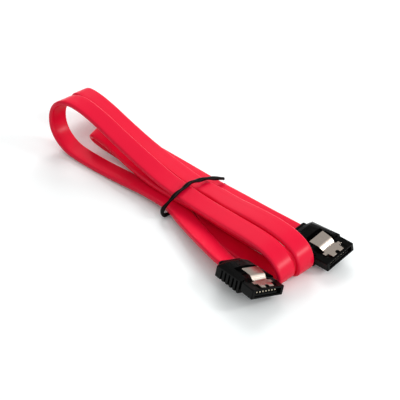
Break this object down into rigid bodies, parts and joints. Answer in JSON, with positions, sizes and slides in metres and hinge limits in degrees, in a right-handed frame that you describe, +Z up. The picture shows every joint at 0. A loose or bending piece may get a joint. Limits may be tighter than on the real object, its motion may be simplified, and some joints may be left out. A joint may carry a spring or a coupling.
{
  "type": "sata data cable",
  "caption": "Flat red data cable folded into a hank and held by a twist tie, with a latching receptacle on each end.",
  "frame": {"origin": "middle of the cable's footprint, on the surface that it lies on", "axes": "+X along the hank towards the plugs, +Y across it towards the plug of the backmost run, +Z up"},
  "size_m": [0.1432, 0.0466, 0.0222],
  "materials": {
    "ribbon": "satin red PVC",
    "overmould": "satin black",
    "housing": "half gloss black",
    "latch": "rolled spring steel",
    "contact": "gold plated",
    "tie": "black coated wire"
  },
  "bodies": {
    "cable": {"ribbon": "ribbon", "twist_tie": "tie", "overmould_1": "overmould", "housing_1": "housing", "overmould_2": "overmould", "housing_2": "housing", "contact_1_1": "contact", "contact_1_2": "contact", "contact_1_3": "contact", "contact_1_4": "contact", "contact_1_5": "contact", "contact_1_6": "contact", "contact_1_7": "contact", "contact_2_1": "contact", "contact_2_2": "contact", "contact_2_3": "contact", "contact_2_4": "contact", "contact_2_5": "contact", "contact_2_6": "contact", "contact_2_7": "contact"},
    "release_1": {"latch_1": "latch"},
    "release_2": {"latch_2": "latch"}
  },
  "joints": [
    {"name": "press_1", "type": "hinge", "parent": "cable", "child": "release_1", "pos_m": [0.06752, -0.01605, 0.00719], "axis": [-0.1563, -0.9499, 0.2708], "range_deg": [0, 4], "stiffness_Nm_per_rad": 0.05},
    {"name": "press_2", "type": "hinge", "parent": "cable", "child": "release_2", "pos_m": [0.07062, 0.01532, 0.00625], "axis": [-0.019, -0.9813, -0.1913], "range_deg": [0, 4], "stiffness_Nm_per_rad": 0.05}
  ]
}
